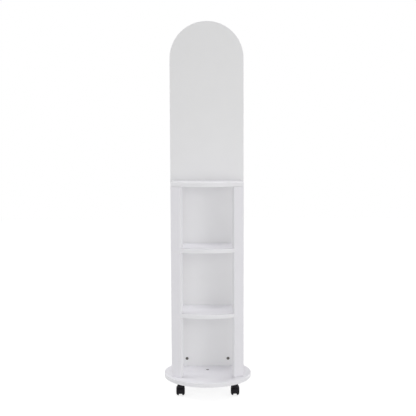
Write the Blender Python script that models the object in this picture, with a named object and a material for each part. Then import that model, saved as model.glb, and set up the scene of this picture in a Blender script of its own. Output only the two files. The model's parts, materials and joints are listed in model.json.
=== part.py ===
"""Rolling arched mirror with shelves, built as an assembly of separate pieces.

Metres, +Z up. The origin is on the floor under the middle of the round base. The shelves face -Y
and the mirror faces +Y. Every white board has one thickness and stands a small gap off its neighbours.
"""

import collections
import math

import bmesh
import bpy
from mathutils import Matrix, Vector

# Fits
FIT_GAP = 0.0003  # between pieces that rest on each other or sit in each other
WELD = FIT_GAP / 100  # points of one piece nearer than this are one point

# Boards
BOARD = 0.016
EDGE_ROUND = 0.001
BASE_RADIUS = 0.177
PANEL_WIDTH = 0.302
PANEL_HEIGHT = 1.427
PANEL_REAR_INSET = 0.100  # from the base's rear rim in to the panel's shelf side
SHELF_PITCH = 0.260  # from one standing surface up to the next
POST_WIDTH = 0.047
POST_TURN = math.radians(35)  # how far a post's face is turned outwards
POST_BEARING = math.radians(58)  # a post's place round the base, counted from the front
POST_RIM_INSET = 0.034  # from the base's rim in to a post's middle

# Mirror
MIRROR_THICKNESS = 0.003
MIRROR_INSET = 0.005  # panel showing round the glass
TAPE_WIDTH = 0.020
TAPE_THICKNESS = 0.001
TAPE_SPACING = 0.180
TAPE_MARGIN = 0.050  # from the glass's foot, and from where its arch begins

# Dowels
DOWEL_RADIUS = 0.004
DOWEL_EDGE_SEAT = 0.020  # length of dowel in a board's edge
FACE_SKIN = 0.006  # board left under a blind hole in a face
SHELF_DOWEL_SPACING = 0.180

# Cam locks at the panel's foot
CAM_RADIUS = 0.006
CAM_SKIN = 0.0035  # panel left behind a cam
CAM_HEIGHT = 0.032
CAM_SPACING = 0.172
CAM_SLOT_WIDTH = 0.0016
CAM_SLOT_DEPTH = 0.0012
CAM_BOLT_RADIUS = 0.0025
CAM_BOLT_NECK_RADIUS = 0.002
CAM_BOLT_HEAD_RADIUS = 0.003
CAM_BOLT_HEAD_HEIGHT = 0.005

# Bolt through the base
BASE_BOLT_Y = 0.021
BASE_BOLT_RADIUS = 0.003
BASE_BOLT_HEAD_RADIUS = 0.006
BASE_BOLT_HEAD_HEIGHT = 0.0025
BASE_BOLT_TAIL = 0.001  # bolt showing past its nut
BASE_NUT_RADIUS = 0.0058
BASE_NUT_HEIGHT = 0.005

# Casters
CASTER_BEARING = math.radians(48)  # a caster's place round the base, counted from the front or the rear
CASTER_RIM_INSET = 0.030  # from the base's rim in to a caster's swivel axis
CASTER_TRAIL = 0.014  # from the swivel axis back to the axle
WHEEL_RADIUS = 0.019
WHEEL_WIDTH = 0.010
WHEEL_GAP = 0.0143  # between a caster's two wheels
WHEEL_ROUND = 0.009  # from a wheel's tread over to its outer face
AXLE_RADIUS = 0.002
AXLE_SEAT = 0.007  # length of axle in a wheel
HOOD_CLEARANCE = 0.001  # between a wheel and the hood over it
HOOD_WALL = 0.002
HOOD_SIDE_INSET = 0.001  # from a wheel's outer face in to the hood's edge
HOOD_DROP = 0.001  # how far below the axle the hood is cut off
HOOD_TILT = math.radians(20)  # how much that cut slopes down to the front
WEB_CLEARANCE = 0.0008  # between a wheel and the web beside it
HUB_RADIUS = 0.008
HUB_PROUD = 0.0004
NECK_RADIUS = 0.010
NECK_HEIGHT = 0.0128  # of the neck above the hood
STEM_PIN_RADIUS = 0.0035
STEM_SEAT = 0.018  # length of stem in the hood
STEM_RADIUS = 0.004
STEM_COLLAR_RADIUS = 0.009
STEM_COLLAR_HEIGHT = 0.002
SOCKET_WALL = 0.0012
SOCKET_FLANGE_RADIUS = 0.011
SOCKET_FLANGE_HEIGHT = 0.0015
SOCKET_SKIN = 0.004  # base left above a socket

# Fineness of round shapes
RIM_SEGMENTS = 72
ARC_SEGMENTS = 20
ARCH_SEGMENTS = 40
WHEEL_SEGMENTS = 28
ROUND_SEGMENTS = 20
PEG_SEGMENTS = 12
SHOULDER_SEGMENTS = 3
NUT_SIDES = 6
SMOOTH_ANGLE = math.radians(30)  # edges sharper than this stay sharp

# Heights worked out from the floor up
AXLE_Z = WHEEL_RADIUS * math.cos(math.pi / WHEEL_SEGMENTS)  # each wheel stands on one flat of its tread
HOOD_RADIUS = WHEEL_RADIUS + HOOD_CLEARANCE + HOOD_WALL
NECK_TOP = AXLE_Z + HOOD_RADIUS + NECK_HEIGHT
COLLAR_TOP = NECK_TOP + FIT_GAP + STEM_COLLAR_HEIGHT
BASE_BOTTOM = COLLAR_TOP + FIT_GAP + SOCKET_FLANGE_HEIGHT + FIT_GAP
BASE_TOP = BASE_BOTTOM + BOARD
PANEL_FOOT = BASE_TOP + FIT_GAP
LOWER_SHELF_TOP = BASE_TOP + SHELF_PITCH
UPPER_SHELF_TOP = LOWER_SHELF_TOP + SHELF_PITCH
TOP_BOARD_TOP = UPPER_SHELF_TOP + SHELF_PITCH

# Places worked out in plan
PANEL_FACE_Y = BASE_RADIUS - PANEL_REAR_INSET
PANEL_BACK_Y = PANEL_FACE_Y + BOARD
PANEL_MIDDLE_Y = PANEL_FACE_Y + BOARD / 2
SHELF_BACK_Y = PANEL_FACE_Y - FIT_GAP
TAPE_Y = PANEL_BACK_Y + FIT_GAP
MIRROR_Y = TAPE_Y + TAPE_THICKNESS + FIT_GAP
POST_X = (BASE_RADIUS - POST_RIM_INSET) * math.sin(POST_BEARING)
POST_Y = -(BASE_RADIUS - POST_RIM_INSET) * math.cos(POST_BEARING)
FRONT_CENTRE_Y = POST_Y + POST_X / math.tan(POST_TURN)  # where both posts' faces look from
POST_DISTANCE = POST_X / math.sin(POST_TURN)  # from there to a post's middle
FRONT_RADIUS = math.hypot(POST_DISTANCE + BOARD / 2, POST_WIDTH / 2)  # from there to the posts' front corners
SHELF_HALF_WIDTH = (
    POST_X + POST_WIDTH / 2 * math.cos(POST_TURN) + BOARD / 2 * math.sin(POST_TURN)
)
FACE_SEAT = BOARD - FACE_SKIN
BORE_LEAD = BOARD / 2  # a cutter's length outside the face that it enters

# Materials as (colour, roughness, metallic)
FINISHES = {
    "white_board": ((0.88, 0.88, 0.89), 0.45, 0.0),
    "mirror": ((0.90, 0.92, 0.92), 0.03, 1.0),
    "foam_tape": ((0.75, 0.75, 0.73), 0.9, 0.0),
    "beech": ((0.62, 0.43, 0.25), 0.7, 0.0),
    "dark_zinc": ((0.16, 0.16, 0.15), 0.45, 1.0),
    "steel": ((0.55, 0.55, 0.56), 0.35, 1.0),
    "black_plastic": ((0.014, 0.013, 0.016), 0.4, 0.0),
    "black_tread": ((0.012, 0.012, 0.013), 0.6, 0.0),
}

LEFT, RIGHT = -1, 1
FRONT, REAR = -1, 1
SIDES = {"left": LEFT, "right": RIGHT}
ENDS = {"front": FRONT, "rear": REAR}

UP = Vector((0, 0, 1))
X_AXIS = Vector((1, 0, 0))
Y_AXIS = Vector((0, 1, 0))

bores = collections.defaultdict(list)  # board name to the holes drilled in it


def clear_scene():
    for obj in list(bpy.data.objects):
        bpy.data.objects.remove(obj, do_unlink=True)


def make_material(name):
    colour, roughness, metallic = FINISHES[name]
    material = bpy.data.materials.new(name)
    material.use_nodes = True
    shader = material.node_tree.nodes["Principled BSDF"]
    shader.inputs["Base Color"].default_value = (*colour, 1)
    shader.inputs["Roughness"].default_value = roughness
    shader.inputs["Metallic"].default_value = metallic
    material.diffuse_color = (*colour, 1)
    return material


def mesh_from(shape, name):
    """Ends a bmesh as a mesh, faces out and smooth but for its real edges."""
    bmesh.ops.recalc_face_normals(shape, faces=shape.faces)
    mesh = bpy.data.meshes.new(name)
    shape.to_mesh(mesh)
    shape.free()
    mesh.shade_smooth()
    mesh.set_sharp_from_angle(angle=SMOOTH_ANGLE)
    return mesh


def add_object(name, mesh, finish=None, place=None, parent=None):
    obj = bpy.data.objects.new(name, mesh)
    bpy.context.scene.collection.objects.link(obj)
    if finish:
        if finish not in bpy.data.materials:
            make_material(finish)
        if not mesh.materials:
            mesh.materials.append(bpy.data.materials[finish])
    obj.parent = parent
    if place is not None:
        obj.matrix_local = place
    return obj


def add_cutter(name, mesh):
    cutter = add_object(name, mesh)
    cutter.hide_render = True
    cutter.display_type = "WIRE"
    return cutter


def combine(obj, other, operation):
    change = obj.modifiers.new(other.name, "BOOLEAN")
    change.operation = operation
    change.object = other


def along(start, direction):
    """A matrix that carries +Z onto a direction and the origin to a start."""
    return Matrix.Translation(start) @ Vector(direction).to_track_quat("Z", "Y").to_matrix().to_4x4()


def prism(outline, height):
    """An outline in X and Y, raised from Z = 0."""
    shape = bmesh.new()
    floor = shape.faces.new([shape.verts.new((x, y, 0)) for x, y in outline])
    raised = bmesh.ops.extrude_face_region(shape, geom=[floor])
    top = [item for item in raised["geom"] if isinstance(item, bmesh.types.BMVert)]
    bmesh.ops.translate(shape, verts=top, vec=UP * height)
    return shape


def rod(shape, start, direction, radius, length, segments=PEG_SEGMENTS):
    """Adds a cylinder that runs from a start along a direction."""
    middle = along(start, direction) @ Matrix.Translation(UP * length / 2)
    bmesh.ops.create_cone(
        shape,
        cap_ends=True,
        segments=segments,
        radius1=radius,
        radius2=radius,
        depth=length,
        matrix=middle,
    )
    return shape


def turned(profile, segments, ring=False):
    """A profile of (radius, height) points turned about Z. A ring's profile closes on itself."""
    shape = bmesh.new()
    points = [shape.verts.new((radius, 0, height)) for radius, height in profile]
    ends = points[1:] + points[:1] if ring else points[1:]
    edges = [shape.edges.new(pair) for pair in zip(points, ends)]
    bmesh.ops.spin(
        shape,
        geom=points + edges,
        axis=UP,
        cent=(0, 0, 0),
        angle=math.tau,
        steps=segments,
    )
    bmesh.ops.remove_doubles(shape, verts=shape.verts, dist=WELD)
    return shape


def arc(centre, radius, start, end, segments):
    """Points along an arc, with angles counted from +X."""
    angles = [start + (end - start) * step / segments for step in range(segments + 1)]
    return [(centre[0] + radius * math.cos(a), centre[1] + radius * math.sin(a)) for a in angles]


def add_board(name, outline, place, thickness=BOARD, finish="white_board", rounding=EDGE_ROUND):
    board = add_object(name, mesh_from(prism(outline, thickness), name), finish, place)
    bevel = board.modifiers.new("edges", "BEVEL")
    bevel.width = rounding
    bevel.limit_method = "ANGLE"
    return board


def bore_radius(pin_radius, segments=PEG_SEGMENTS):
    """The radius at the corners of a faceted bore whose flats clear a pin by the fit gap."""
    return (pin_radius + FIT_GAP) / math.cos(math.pi / segments)


def drill(board, start, direction, pin_radius, depth):
    """Notes a hole for a pin, which enters a board at a start and runs along a direction."""
    direction = Vector(direction)
    lead_in = Vector(start) - direction * BORE_LEAD
    bores[board].append((lead_in, direction, bore_radius(pin_radius), BORE_LEAD + depth))


def cut_bores():
    for board, holes in bores.items():
        for number, hole in enumerate(holes, 1):
            name = f"{board}_bore_{number}"
            combine(
                bpy.data.objects[board],
                add_cutter(name, mesh_from(rod(bmesh.new(), *hole), name)),
                "DIFFERENCE",
            )


def circle_outline(radius, segments):
    return arc((0, 0), radius, 0, math.tau, segments)[:-1]


def arch_outline(width, height):
    """An upright board with a half-round head, as X and height."""
    half = width / 2
    head = arc((0, height - half), half, 0, math.pi, ARCH_SEGMENTS)
    return [(-half, 0), (half, 0), *head]


def post_place(side, height=0):
    """Carries a post's own axes to its place: +X along its width, -Y out of its face."""
    return Matrix.Translation((side * POST_X, POST_Y, height)) @ Matrix.Rotation(side * POST_TURN, 4, "Z")


def front_curve(half_width):
    """The curved front that all three boards share, from left to right."""
    reach = math.asin(half_width / FRONT_RADIUS)
    down = -math.pi / 2
    return arc((0, FRONT_CENTRE_Y), FRONT_RADIUS, down - reach, down + reach, ARC_SEGMENTS)


def shelf_outline():
    """A straight back, straight sides, corners notched round the posts and a curved front between them."""
    notch_x = -POST_WIDTH / 2 - FIT_GAP
    notch = post_place(RIGHT) @ Vector((notch_x, BOARD / 2 + FIT_GAP, 0))
    nose = post_place(RIGHT) @ Vector((notch_x, -BOARD / 2, 0))
    side_y = notch.y + (SHELF_HALF_WIDTH - notch.x) * math.tan(POST_TURN)
    return [
        (-SHELF_HALF_WIDTH, SHELF_BACK_Y),
        (-SHELF_HALF_WIDTH, side_y),
        (-notch.x, notch.y),
        *front_curve(nose.x),
        (notch.x, notch.y),
        (SHELF_HALF_WIDTH, side_y),
        (SHELF_HALF_WIDTH, SHELF_BACK_Y),
    ]


def top_outline():
    """A straight back, straight sides and a curved front that covers the posts."""
    front = front_curve(SHELF_HALF_WIDTH)
    return [(-SHELF_HALF_WIDTH, SHELF_BACK_Y), *front, (SHELF_HALF_WIDTH, SHELF_BACK_Y)]


def standing(face_y, foot):
    """Stands an outline drawn as X and height upright, with its thickness running back from a face."""
    return Matrix.Translation((0, face_y, foot)) @ Matrix(
        ((1, 0, 0, 0), (0, 0, 1, 0), (0, 1, 0, 0), (0, 0, 0, 1))
    )


def add_boards():
    add_board(
        "base_board",
        circle_outline(BASE_RADIUS, RIM_SEGMENTS),
        Matrix.Translation(UP * BASE_BOTTOM),
    )
    add_board("back_panel", arch_outline(PANEL_WIDTH, PANEL_HEIGHT), standing(PANEL_FACE_Y, PANEL_FOOT))
    add_board("top_board", top_outline(), Matrix.Translation(UP * (TOP_BOARD_TOP - BOARD)))
    for name, top in (("upper_shelf", UPPER_SHELF_TOP), ("lower_shelf", LOWER_SHELF_TOP)):
        add_board(name, shelf_outline(), Matrix.Translation(UP * (top - BOARD)))
    half_width, half_depth = POST_WIDTH / 2, BOARD / 2
    section = [
        (-half_width, -half_depth),
        (half_width, -half_depth),
        (half_width, half_depth),
        (-half_width, half_depth),
    ]
    foot = BASE_TOP + FIT_GAP
    height = TOP_BOARD_TOP - BOARD - FIT_GAP - foot
    for side_name, side in SIDES.items():
        add_board(f"{side_name}_post", section, post_place(side, foot), thickness=height)


def add_mirror():
    width = PANEL_WIDTH - 2 * MIRROR_INSET
    height = PANEL_HEIGHT - 2 * MIRROR_INSET
    foot = PANEL_FOOT + MIRROR_INSET
    add_board(
        "mirror_glass",
        arch_outline(width, height),
        standing(MIRROR_Y, foot),
        thickness=MIRROR_THICKNESS,
        finish="mirror",
        rounding=min(EDGE_ROUND, MIRROR_THICKNESS / 3),
    )
    length = height - width / 2 - 2 * TAPE_MARGIN
    strip = [
        (-TAPE_WIDTH / 2, 0),
        (TAPE_WIDTH / 2, 0),
        (TAPE_WIDTH / 2, length),
        (-TAPE_WIDTH / 2, length),
    ]
    for side_name, side in SIDES.items():
        name = f"{side_name}_mirror_tape"
        place = Matrix.Translation(X_AXIS * side * TAPE_SPACING / 2) @ standing(TAPE_Y, foot + TAPE_MARGIN)
        add_object(name, mesh_from(prism(strip, TAPE_THICKNESS), name), "foam_tape", place)


def add_dowel(name, face_board, edge_board, point, direction):
    """A dowel across a joint. The point is on the face board, and the direction leads into the edge board."""
    direction = Vector(direction)
    edge = point + direction * FIT_GAP
    drill(face_board, point, -direction, DOWEL_RADIUS, FACE_SEAT)
    drill(edge_board, edge, direction, DOWEL_RADIUS, DOWEL_EDGE_SEAT + FIT_GAP)
    length = FACE_SEAT + DOWEL_EDGE_SEAT
    mesh = mesh_from(rod(bmesh.new(), (0, 0, 0), UP, DOWEL_RADIUS, length), name)
    add_object(name, mesh, "beech", along(point - direction * (FACE_SEAT - FIT_GAP), direction))


def add_dowels():
    heights = {
        "top_board": TOP_BOARD_TOP - BOARD / 2,
        "upper_shelf": UPPER_SHELF_TOP - BOARD / 2,
        "lower_shelf": LOWER_SHELF_TOP - BOARD / 2,
    }
    for side_name, side in SIDES.items():
        post = f"{side_name}_post"
        inwards = post_place(side).to_3x3() @ Y_AXIS
        for board, height in heights.items():
            at_panel = Vector((side * SHELF_DOWEL_SPACING / 2, PANEL_FACE_Y, height))
            add_dowel(f"{board}_{side_name}_panel_dowel", "back_panel", board, at_panel, -Y_AXIS)
            if board != "top_board":
                at_post = post_place(side, height) @ Vector((0, BOARD / 2, 0))
                add_dowel(f"{board}_{side_name}_post_dowel", post, board, at_post, inwards)
        at_base = Vector((side * POST_X, POST_Y, BASE_TOP))
        add_dowel(f"{post}_foot_dowel", "base_board", post, at_base, UP)
        at_top = Vector((side * POST_X, POST_Y, TOP_BOARD_TOP - BOARD))
        add_dowel(f"{post}_top_dowel", "top_board", post, at_top, -UP)


def box_mesh(name, low, high):
    outline = [(low[0], low[1]), (high[0], low[1]), (high[0], high[1]), (low[0], high[1])]
    shape = prism(outline, high[2] - low[2])
    bmesh.ops.translate(shape, verts=shape.verts, vec=UP * low[2])
    return mesh_from(shape, name)


def baked(obj, name):
    """The mesh that an object's modifiers make. The object and its cutters are removed."""
    bpy.context.view_layer.update()
    mesh = bpy.data.meshes.new_from_object(obj.evaluated_get(bpy.context.evaluated_depsgraph_get()))
    mesh.name = name
    for helper in [modifier.object for modifier in obj.modifiers] + [obj]:
        bpy.data.objects.remove(helper, do_unlink=True)
    mesh.shade_smooth()
    mesh.set_sharp_from_angle(angle=SMOOTH_ANGLE)
    return mesh


def cam_mesh():
    """A cam's round body, facing -Y, with a tool slot in its face and a notch that hooks the bolt's head."""
    length = BOARD - CAM_SKIN - FIT_GAP
    body = rod(bmesh.new(), (0, 0, 0), Y_AXIS, CAM_RADIUS, length, ROUND_SEGMENTS)
    cam = add_object("cam_body", mesh_from(body, "cam_body"))
    notch_half = CAM_BOLT_HEAD_RADIUS + FIT_GAP
    notch_top = CAM_BOLT_HEAD_HEIGHT / 2 + FIT_GAP
    cuts = {
        "cam_notch": (
            (-notch_half, BOARD / 2 - notch_half, -2 * CAM_RADIUS),
            (notch_half, 2 * length, notch_top),
        ),
        "cam_slot": (
            (-CAM_RADIUS / 2, -CAM_SLOT_DEPTH, -CAM_SLOT_WIDTH / 2),
            (CAM_RADIUS / 2, CAM_SLOT_DEPTH, CAM_SLOT_WIDTH / 2),
        ),
    }
    for name, corners in cuts.items():
        combine(cam, add_cutter(name, box_mesh(name, *corners)), "DIFFERENCE")
    return baked(cam, "cam")


def add_cam_locks():
    cam = cam_mesh()
    cam_z = PANEL_FOOT + CAM_HEIGHT
    head_low = cam_z - CAM_BOLT_HEAD_HEIGHT / 2
    bolt_profile = [
        (0, BASE_TOP - FACE_SEAT + FIT_GAP),
        (CAM_BOLT_RADIUS, BASE_TOP - FACE_SEAT + FIT_GAP),
        (CAM_BOLT_RADIUS, BASE_TOP),
        (CAM_BOLT_NECK_RADIUS, BASE_TOP),
        (CAM_BOLT_NECK_RADIUS, head_low),
        (CAM_BOLT_HEAD_RADIUS, head_low),
        (CAM_BOLT_HEAD_RADIUS, head_low + CAM_BOLT_HEAD_HEIGHT),
        (0, head_low + CAM_BOLT_HEAD_HEIGHT),
    ]
    bolt = mesh_from(turned(bolt_profile, PEG_SEGMENTS), "cam_bolt")
    for side_name, side in SIDES.items():
        x = side * CAM_SPACING / 2
        add_object(f"{side_name}_cam", cam, "dark_zinc", Matrix.Translation((x, PANEL_FACE_Y, cam_z)))
        add_object(f"{side_name}_cam_bolt", bolt, "steel", Matrix.Translation((x, PANEL_MIDDLE_Y, 0)))
        drill("back_panel", (x, PANEL_FACE_Y, cam_z), Y_AXIS, CAM_RADIUS, BOARD - CAM_SKIN)
        drill("back_panel", (x, PANEL_MIDDLE_Y, PANEL_FOOT), UP, CAM_BOLT_HEAD_RADIUS, CAM_HEIGHT)
        drill("base_board", (x, PANEL_MIDDLE_Y, BASE_TOP), -UP, CAM_BOLT_RADIUS, FACE_SEAT)


def add_base_bolt():
    """A flush-headed bolt through the base and the nut under it."""
    head_low = BASE_TOP - BASE_BOLT_HEAD_HEIGHT
    nut_top = BASE_BOTTOM - FIT_GAP
    nut_low = nut_top - BASE_NUT_HEIGHT
    bolt_profile = [
        (0, nut_low - BASE_BOLT_TAIL),
        (BASE_BOLT_RADIUS, nut_low - BASE_BOLT_TAIL),
        (BASE_BOLT_RADIUS, head_low),
        (BASE_BOLT_HEAD_RADIUS, head_low),
        (BASE_BOLT_HEAD_RADIUS, BASE_TOP),
        (0, BASE_TOP),
    ]
    bolt = mesh_from(turned(bolt_profile, ROUND_SEGMENTS), "base_bolt")
    add_object("base_bolt", bolt, "dark_zinc", Matrix.Translation(Y_AXIS * BASE_BOLT_Y))
    nut = mesh_from(prism(circle_outline(BASE_NUT_RADIUS, NUT_SIDES), BASE_NUT_HEIGHT), "base_nut")
    add_object("base_nut", nut, "steel", Matrix.Translation((0, BASE_BOLT_Y, nut_low)))
    head = (0, BASE_BOLT_Y, BASE_TOP)
    drill("base_board", head, -UP, BASE_BOLT_RADIUS, BOARD + BORE_LEAD)
    drill("base_board", head, -UP, BASE_BOLT_HEAD_RADIUS, BASE_BOLT_HEAD_HEIGHT + FIT_GAP)
    drill("base_nut", (0, BASE_BOLT_Y, nut_top), -UP, BASE_BOLT_RADIUS, BASE_NUT_HEIGHT + BORE_LEAD)


def wheel_shoulder(offset, inner, outer):
    """The curve from a wheel's tread over to its outer face, or one set off from it, as radius and height.

    Heights are above an inner face, and the curve stops at an outer one.
    """
    rounding = min(WHEEL_ROUND, WHEEL_WIDTH)
    centre = (WHEEL_RADIUS - rounding, inner + WHEEL_WIDTH - rounding)
    reach = rounding + offset
    end = math.asin(min(1, (outer - centre[1]) / reach))
    return arc(centre, reach, 0, end, SHOULDER_SEGMENTS)


def wheel_mesh():
    """One wheel about Z, with its inner face at Z = 0 and its tread rounded over. The bore is blind."""
    bore = bore_radius(AXLE_RADIUS, WHEEL_SEGMENTS)
    bore_end = AXLE_SEAT + FIT_GAP
    profile = [
        (0, bore_end),
        (bore, bore_end),
        (bore, 0),
        (WHEEL_RADIUS, 0),
        *wheel_shoulder(0, 0, WHEEL_WIDTH),
        (0, WHEEL_WIDTH),
    ]
    shape = turned(profile, WHEEL_SEGMENTS)
    half_step = Matrix.Rotation(math.pi / WHEEL_SEGMENTS, 4, "Z")
    bmesh.ops.transform(shape, matrix=half_step, verts=shape.verts)
    return mesh_from(shape, "wheel")


def hood_mesh():
    """A caster's body, with the swivel axis on Z: half a round hood, a web between the wheels and a neck."""
    axle = Vector((0, CASTER_TRAIL, AXLE_Z))
    half_gap = WHEEL_GAP / 2
    half_web = half_gap - WEB_CLEARANCE
    half_width = half_gap + WHEEL_WIDTH - HOOD_SIDE_INSET
    shoulder = wheel_shoulder(HOOD_CLEARANCE + HOOD_WALL, half_gap, half_width)
    profile = [(0, half_width), *reversed(shoulder)]
    profile += [(radius, -height) for radius, height in reversed(profile)]
    shape = turned(profile, WHEEL_SEGMENTS)
    bmesh.ops.transform(shape, matrix=along(axle, X_AXIS), verts=shape.verts)
    hood = add_object("hood_body", mesh_from(shape, "hood_body"))

    reach = 2 * HOOD_RADIUS
    below = box_mesh("hood_below", (-reach, -reach, -reach), (reach, reach, -HOOD_DROP))
    below.transform(Matrix.Translation(axle) @ Matrix.Rotation(HOOD_TILT, 4, "X"))
    combine(hood, add_cutter("hood_below", below), "DIFFERENCE")

    neck_low = NECK_TOP - STEM_SEAT
    neck = rod(bmesh.new(), UP * neck_low, UP, NECK_RADIUS, STEM_SEAT, ROUND_SEGMENTS)
    combine(hood, add_cutter("hood_neck", mesh_from(neck, "hood_neck")), "UNION")

    outside = half_gap + WHEEL_WIDTH + HOOD_CLEARANCE
    well_profile = [
        (0, half_web),
        (WHEEL_RADIUS + HOOD_CLEARANCE, half_web),
        *wheel_shoulder(HOOD_CLEARANCE, half_gap, outside),
        (0, outside),
    ]
    for side_name, side in SIDES.items():
        name = f"hood_{side_name}_well"
        well = turned(well_profile, WHEEL_SEGMENTS)
        bmesh.ops.transform(well, matrix=along(axle, X_AXIS * side), verts=well.verts)
        combine(hood, add_cutter(name, mesh_from(well, name)), "DIFFERENCE")

    hub_width = 2 * (half_web + HUB_PROUD)
    hub = rod(bmesh.new(), axle - X_AXIS * hub_width / 2, X_AXIS, HUB_RADIUS, hub_width, ROUND_SEGMENTS)
    combine(hood, add_cutter("hood_hub", mesh_from(hub, "hood_hub")), "UNION")

    axle_bore = rod(bmesh.new(), axle - X_AXIS * hub_width, X_AXIS, bore_radius(AXLE_RADIUS), 2 * hub_width)
    combine(hood, add_cutter("hood_axle_bore", mesh_from(axle_bore, "hood_axle_bore")), "DIFFERENCE")
    above = UP * (NECK_TOP + STEM_SEAT)
    stem_bore = rod(bmesh.new(), above, -UP, bore_radius(STEM_PIN_RADIUS), 2 * STEM_SEAT)
    combine(hood, add_cutter("hood_stem_bore", mesh_from(stem_bore, "hood_stem_bore")), "DIFFERENCE")
    return baked(hood, "hood")


def stem_mesh():
    pin_low = NECK_TOP - STEM_SEAT + FIT_GAP
    collar_low = NECK_TOP + FIT_GAP
    stem_top = BASE_BOTTOM + BOARD - SOCKET_SKIN - FIT_GAP
    profile = [
        (0, pin_low),
        (STEM_PIN_RADIUS, pin_low),
        (STEM_PIN_RADIUS, collar_low),
        (STEM_COLLAR_RADIUS, collar_low),
        (STEM_COLLAR_RADIUS, COLLAR_TOP),
        (STEM_RADIUS, COLLAR_TOP),
        (STEM_RADIUS, stem_top),
        (0, stem_top),
    ]
    return mesh_from(turned(profile, PEG_SEGMENTS), "stem")


def socket_mesh():
    """A flanged sleeve in the base's underside."""
    bore = bore_radius(STEM_RADIUS, ROUND_SEGMENTS)
    flange_low = BASE_BOTTOM - FIT_GAP - SOCKET_FLANGE_HEIGHT
    flange_top = BASE_BOTTOM - FIT_GAP
    sleeve_top = BASE_BOTTOM + BOARD - SOCKET_SKIN - FIT_GAP
    profile = [
        (bore, sleeve_top),
        (bore, flange_low),
        (SOCKET_FLANGE_RADIUS, flange_low),
        (SOCKET_FLANGE_RADIUS, flange_top),
        (bore + SOCKET_WALL, flange_top),
        (bore + SOCKET_WALL, sleeve_top),
    ]
    return mesh_from(turned(profile, ROUND_SEGMENTS, ring=True), "socket")


def add_casters():
    hood, stem, socket, wheel = hood_mesh(), stem_mesh(), socket_mesh(), wheel_mesh()
    half_axle = WHEEL_GAP / 2 + AXLE_SEAT
    axle = mesh_from(rod(bmesh.new(), -UP * half_axle, UP, AXLE_RADIUS, 2 * half_axle), "axle")
    axle_place = Vector((0, CASTER_TRAIL, AXLE_Z))
    distance = BASE_RADIUS - CASTER_RIM_INSET
    socket_radius = bore_radius(STEM_RADIUS, ROUND_SEGMENTS) + SOCKET_WALL
    for end_name, end in ENDS.items():
        for side_name, side in SIDES.items():
            caster = f"{end_name}_{side_name}_caster"
            x = side * distance * math.sin(CASTER_BEARING)
            y = end * distance * math.cos(CASTER_BEARING)
            swivel = add_object(caster, None, place=Matrix.Translation((x, y, 0)))
            add_object(f"{caster}_socket", socket, "steel", parent=swivel)
            add_object(f"{caster}_stem", stem, "steel", parent=swivel)
            add_object(f"{caster}_hood", hood, "black_plastic", parent=swivel)
            add_object(f"{caster}_axle", axle, "steel", along(axle_place, X_AXIS), swivel)
            for wheel_name, wheel_side in SIDES.items():
                outwards = X_AXIS * wheel_side
                place = along(axle_place + outwards * WHEEL_GAP / 2, outwards)
                add_object(f"{caster}_{wheel_name}_wheel", wheel, "black_tread", place, swivel)
            drill("base_board", (x, y, BASE_BOTTOM), UP, socket_radius, BOARD - SOCKET_SKIN)


def main():
    clear_scene()
    add_boards()
    add_mirror()
    add_dowels()
    add_cam_locks()
    add_base_bolt()
    add_casters()
    cut_bores()


main()
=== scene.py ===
"""Rolling arched mirror with shelves: its looks, modelled round the packed parts.

Metres, +Z up, in the frame of the packed model. The shelves face -Y and the mirror faces +Y.
"""

import json
import math

import bmesh
import bpy
import numpy as np
from bpy.props import FloatProperty, FloatVectorProperty, IntProperty, PointerProperty
from mathutils import Matrix, Vector

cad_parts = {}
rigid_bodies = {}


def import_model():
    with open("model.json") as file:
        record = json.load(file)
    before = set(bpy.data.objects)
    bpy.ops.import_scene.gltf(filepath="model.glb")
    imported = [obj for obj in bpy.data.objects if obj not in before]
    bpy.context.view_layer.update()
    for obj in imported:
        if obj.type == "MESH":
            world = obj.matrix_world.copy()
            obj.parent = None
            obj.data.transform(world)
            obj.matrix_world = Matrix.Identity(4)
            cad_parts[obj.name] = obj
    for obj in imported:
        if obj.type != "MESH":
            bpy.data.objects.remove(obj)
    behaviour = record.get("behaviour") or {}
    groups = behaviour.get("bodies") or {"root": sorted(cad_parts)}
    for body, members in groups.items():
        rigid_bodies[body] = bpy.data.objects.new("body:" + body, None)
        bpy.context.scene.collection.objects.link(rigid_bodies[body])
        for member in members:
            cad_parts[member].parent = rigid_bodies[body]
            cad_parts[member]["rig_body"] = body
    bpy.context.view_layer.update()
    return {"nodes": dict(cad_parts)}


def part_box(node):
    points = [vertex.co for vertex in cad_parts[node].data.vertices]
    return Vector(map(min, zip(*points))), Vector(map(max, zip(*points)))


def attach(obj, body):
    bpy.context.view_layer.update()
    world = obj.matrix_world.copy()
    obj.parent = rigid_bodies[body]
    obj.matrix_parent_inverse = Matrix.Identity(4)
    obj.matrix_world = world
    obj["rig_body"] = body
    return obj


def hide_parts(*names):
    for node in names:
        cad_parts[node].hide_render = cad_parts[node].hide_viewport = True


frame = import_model()

bl_info = {
    "name": "Rolling mirror with shelves",
    "version": (1, 0, 0),
    "blender": (4, 5, 0),
    "location": "View3D > Sidebar > Rolling mirror",
    "description": "Models and finishes an arched mirror board with shelves on a rolling base",
    "category": "Object",
}

PHOTO_SIDE = 416  # pixels along each side of the picture
SENSOR = 36  # millimetres along each side of the camera's sensor

UP = Vector((0, 0, 1))
X_AXIS = Vector((1, 0, 0))
Y_AXIS = Vector((0, 1, 0))
SIDES = {"left": -1, "right": 1}
CASTERS = [f"{end}_{side}_caster" for end in ("front", "rear") for side in SIDES]

FIT_GAP = 0.0003  # between a pin and its bore, and between pieces that meet
WELD = 0.000002  # points nearer than this are one point
SHARP = math.radians(30)  # edges that turn more than this stay sharp
STRAIGHT = math.radians(0.01)  # edges that turn less than this run on as one
FLAT = 0.999  # how square to a direction a flat face's normal is
THROUGH = 4  # length of a cutter that goes right through a board, in thicknesses
WHITE = (1, 1, 1, 1)

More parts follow.
